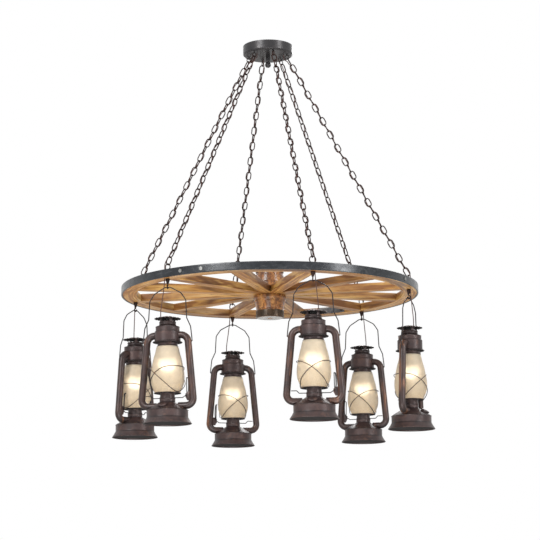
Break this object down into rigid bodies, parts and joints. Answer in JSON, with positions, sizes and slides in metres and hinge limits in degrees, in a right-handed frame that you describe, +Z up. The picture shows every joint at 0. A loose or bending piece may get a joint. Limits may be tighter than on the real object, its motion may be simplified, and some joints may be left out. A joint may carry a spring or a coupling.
{
  "type": "wagon wheel chandelier",
  "caption": "Wooden wagon wheel hung on chains from a ceiling canopy, with hurricane lanterns on its rim as its lamps.",
  "frame": {"origin": "centre of the canopy's mouth in the ceiling plane, at the crossbar's top face", "axes": "+Z up; the first lantern hangs 16.6 degrees from -Y toward +X"},
  "size_m": [1.148, 1.1334, 1.4289],
  "materials": {
    "canopy_metal": "satin dark mahogany bronze with a soft gloss below",
    "ceiling_iron": "satin dark bronze",
    "chain_iron": "dark brown-black, slightly worn at the contacts",
    "cord_cover": "dark brown braided cover",
    "tyre_iron": "dark blue-black iron with a soft sheen",
    "bolt_steel": "bright zinc",
    "felloe_wood": "honey gold varnish over bent hardwood",
    "spoke_wood": "honey gold varnish with brown streaks",
    "hub_wood": "glossy orange red brown varnish",
    "band_iron": "dark brown satin",
    "bail_wire": "dark brown wire",
    "lantern_metal": "dark mahogany bronze with copper streaks",
    "lamp_cream": "cream socket and opal bulb",
    "globe_glass": "frosted cream glass",
    "lever_wire": "dark bronze wire"
  },
  "bodies": {
    "wheel": {"canopy": "canopy_metal", "ceiling_mount": "ceiling_iron", "canopy_loops": "chain_iron", "lamp_cords": "cord_cover", "drop_cords": "cord_cover", "tyre": "tyre_iron", "splice_hardware": "bolt_steel", "felloes": "felloe_wood", "spokes": "spoke_wood", "hub": "hub_wood", "hub_bands": "band_iron", "eye_hooks": "chain_iron", "chain_1": "chain_iron", "chain_2": "chain_iron", "chain_3": "chain_iron", "chain_4": "chain_iron", "chain_5": "chain_iron", "chain_6": "chain_iron"},
    "bail_1": {"bail_1": "bail_wire"},
    "lantern_1": {"lantern_frame_1": "lantern_metal", "hood_1": "lantern_metal", "lamp_1": "lamp_cream"},
    "globe_1": {"globe_1": "globe_glass", "globe_cradle_1": "lantern_metal"},
    "lever_1": {"lift_lever_1": "lever_wire"},
    "bail_2": {"bail_2": "bail_wire"},
    "lantern_2": {"lantern_frame_2": "lantern_metal", "hood_2": "lantern_metal", "lamp_2": "lamp_cream"},
    "globe_2": {"globe_2": "globe_glass", "globe_cradle_2": "lantern_metal"},
    "lever_2": {"lift_lever_2": "lever_wire"},
    "bail_3": {"bail_3": "bail_wire"},
    "lantern_3": {"lantern_frame_3": "lantern_metal", "hood_3": "lantern_metal", "lamp_3": "lamp_cream"},
    "globe_3": {"globe_3": "globe_glass", "globe_cradle_3": "lantern_metal"},
    "lever_3": {"lift_lever_3": "lever_wire"},
    "bail_4": {"bail_4": "bail_wire"},
    "lantern_4": {"lantern_frame_4": "lantern_metal", "hood_4": "lantern_metal", "lamp_4": "lamp_cream"},
    "globe_4": {"globe_4": "globe_glass", "globe_cradle_4": "lantern_metal"},
    "lever_4": {"lift_lever_4": "lever_wire"},
    "bail_5": {"bail_5": "bail_wire"},
    "lantern_5": {"lantern_frame_5": "lantern_metal", "hood_5": "lantern_metal", "lamp_5": "lamp_cream"},
    "globe_5": {"globe_5": "globe_glass", "globe_cradle_5": "lantern_metal"},
    "lever_5": {"lift_lever_5": "lever_wire"},
    "bail_6": {"bail_6": "bail_wire"},
    "lantern_6": {"lantern_frame_6": "lantern_metal", "hood_6": "lantern_metal", "lamp_6": "lamp_cream"},
    "globe_6": {"globe_6": "globe_glass", "globe_cradle_6": "lantern_metal"},
    "lever_6": {"lift_lever_6": "lever_wire"}
  },
  "joints": [
    {"name": "bail_swing_1", "type": "hinge", "parent": "wheel", "child": "bail_1", "pos_m": [0.1444, -0.48438, -0.96292], "axis": [0.9925, -0.1219, 0], "range_deg": [-8, 8], "deforming": ["drop_cords"]},
    {"name": "lantern_tip_1", "type": "hinge", "parent": "bail_1", "child": "lantern_1", "pos_m": [0.1444, -0.48438, -1.15092], "axis": [0.9925, -0.1219, 0], "range_deg": [-6, 6], "deforming": ["drop_cords"]},
    {"name": "lift_lever_1", "type": "hinge", "parent": "lantern_1", "child": "lever_1", "pos_m": [0.2114, -0.49261, -1.33292], "axis": [0.1219, 0.9925, 0], "range_deg": [0, 5]},
    {"name": "globe_lift_1", "type": "slide", "parent": "lantern_1", "child": "globe_1", "axis": [0, 0, 1], "range_m": [0, 0.00807]},
    {"name": "bail_swing_2", "type": "hinge", "parent": "wheel", "child": "bail_2", "pos_m": [0.49169, -0.11714, -0.96292], "axis": [0.4131, 0.9107, 0], "range_deg": [-8, 8], "deforming": ["drop_cords"]},
    {"name": "lantern_tip_2", "type": "hinge", "parent": "bail_2", "child": "lantern_2", "pos_m": [0.49169, -0.11714, -1.15092], "axis": [0.4131, 0.9107, 0], "range_deg": [-6, 6], "deforming": ["drop_cords"]},
    {"name": "lift_lever_2", "type": "hinge", "parent": "lantern_2", "child": "lever_2", "pos_m": [0.51957, -0.05567, -1.33292], "axis": [-0.9107, 0.4131, 0], "range_deg": [0, 5]},
    {"name": "globe_lift_2", "type": "slide", "parent": "lantern_2", "child": "globe_2", "axis": [0, 0, 1], "range_m": [0, 0.00807]},
    {"name": "bail_swing_3", "type": "hinge", "parent": "wheel", "child": "bail_3", "pos_m": [0.34729, 0.36725, -0.96292], "axis": [-0.9063, 0.4226, 0], "range_deg": [-8, 8], "deforming": ["drop_cords"]},
    {"name": "lantern_tip_3", "type": "hinge", "parent": "bail_3", "child": "lantern_3", "pos_m": [0.34729, 0.36725, -1.15092], "axis": [-0.9063, 0.4226, 0], "range_deg": [-6, 6], "deforming": ["drop_cords"]},
    {"name": "lift_lever_3", "type": "hinge", "parent": "lantern_3", "child": "lever_3", "pos_m": [0.28611, 0.39577, -1.33292], "axis": [-0.4226, -0.9063, 0], "range_deg": [0, 5]},
    {"name": "globe_lift_3", "type": "slide", "parent": "lantern_3", "child": "globe_3", "axis": [0, 0, 1], "range_m": [0, 0.00807]},
    {"name": "bail_swing_4", "type": "hinge", "parent": "wheel", "child": "bail_4", "pos_m": [-0.1444, 0.48438, -0.96292], "axis": [-0.9659, -0.2588, 0], "range_deg": [-8, 8], "deforming": ["drop_cords"]},
    {"name": "lantern_tip_4", "type": "hinge", "parent": "bail_4", "child": "lantern_4", "pos_m": [-0.1444, 0.48438, -1.15092], "axis": [-0.9659, -0.2588, 0], "range_deg": [-6, 6], "deforming": ["drop_cords"]},
    {"name": "lift_lever_4", "type": "hinge", "parent": "lantern_4", "child": "lever_4", "pos_m": [-0.2096, 0.46691, -1.33292], "axis": [0.2588, -0.9659, 0], "range_deg": [0, 5]},
    {"name": "globe_lift_4", "type": "slide", "parent": "lantern_4", "child": "globe_4", "axis": [0, 0, 1], "range_m": [0, 0.00807]},
    {"name": "bail_swing_5", "type": "hinge", "parent": "wheel", "child": "bail_5", "pos_m": [-0.49169, 0.11714, -0.96292], "axis": [-0.5878, -0.809, 0], "range_deg": [-8, 8], "deforming": ["drop_cords"]},
    {"name": "lantern_tip_5", "type": "hinge", "parent": "bail_5", "child": "lantern_5", "pos_m": [-0.49169, 0.11714, -1.15092], "axis": [-0.5878, -0.809, 0], "range_deg": [-6, 6], "deforming": ["drop_cords"]},
    {"name": "lift_lever_5", "type": "hinge", "parent": "lantern_5", "child": "lever_5", "pos_m": [-0.53136, 0.06253, -1.33292], "axis": [0.809, -0.5878, 0], "range_deg": [0, 5]},
    {"name": "globe_lift_5", "type": "slide", "parent": "lantern_5", "child": "globe_5", "axis": [0, 0, 1], "range_m": [0, 0.00807]},
    {"name": "bail_swing_6", "type": "hinge", "parent": "wheel", "child": "bail_6", "pos_m": [-0.34729, -0.36725, -0.96292], "axis": [0.9563, -0.2924, 0], "range_deg": [-8, 8], "deforming": ["drop_cords"]},
    {"name": "lantern_tip_6", "type": "hinge", "parent": "bail_6", "child": "lantern_6", "pos_m": [-0.34729, -0.36725, -1.15092], "axis": [0.9563, -0.2924, 0], "range_deg": [-6, 6], "deforming": ["drop_cords"]},
    {"name": "lift_lever_6", "type": "hinge", "parent": "lantern_6", "child": "lever_6", "pos_m": [-0.28274, -0.38698, -1.33292], "axis": [0.2924, 0.9563, 0], "range_deg": [0, 5]},
    {"name": "globe_lift_6", "type": "slide", "parent": "lantern_6", "child": "globe_6", "axis": [0, 0, 1], "range_m": [0, 0.00807]}
  ],
  "couplings": [
    {"joint": "lift_lever_1", "follows": "globe_lift_1", "rad_per_m": 10.811},
    {"joint": "lift_lever_2", "follows": "globe_lift_2", "rad_per_m": 10.811},
    {"joint": "lift_lever_3", "follows": "globe_lift_3", "rad_per_m": 10.811},
    {"joint": "lift_lever_4", "follows": "globe_lift_4", "rad_per_m": 10.811},
    {"joint": "lift_lever_5", "follows": "globe_lift_5", "rad_per_m": 10.811},
    {"joint": "lift_lever_6", "follows": "globe_lift_6", "rad_per_m": 10.811}
  ]
}
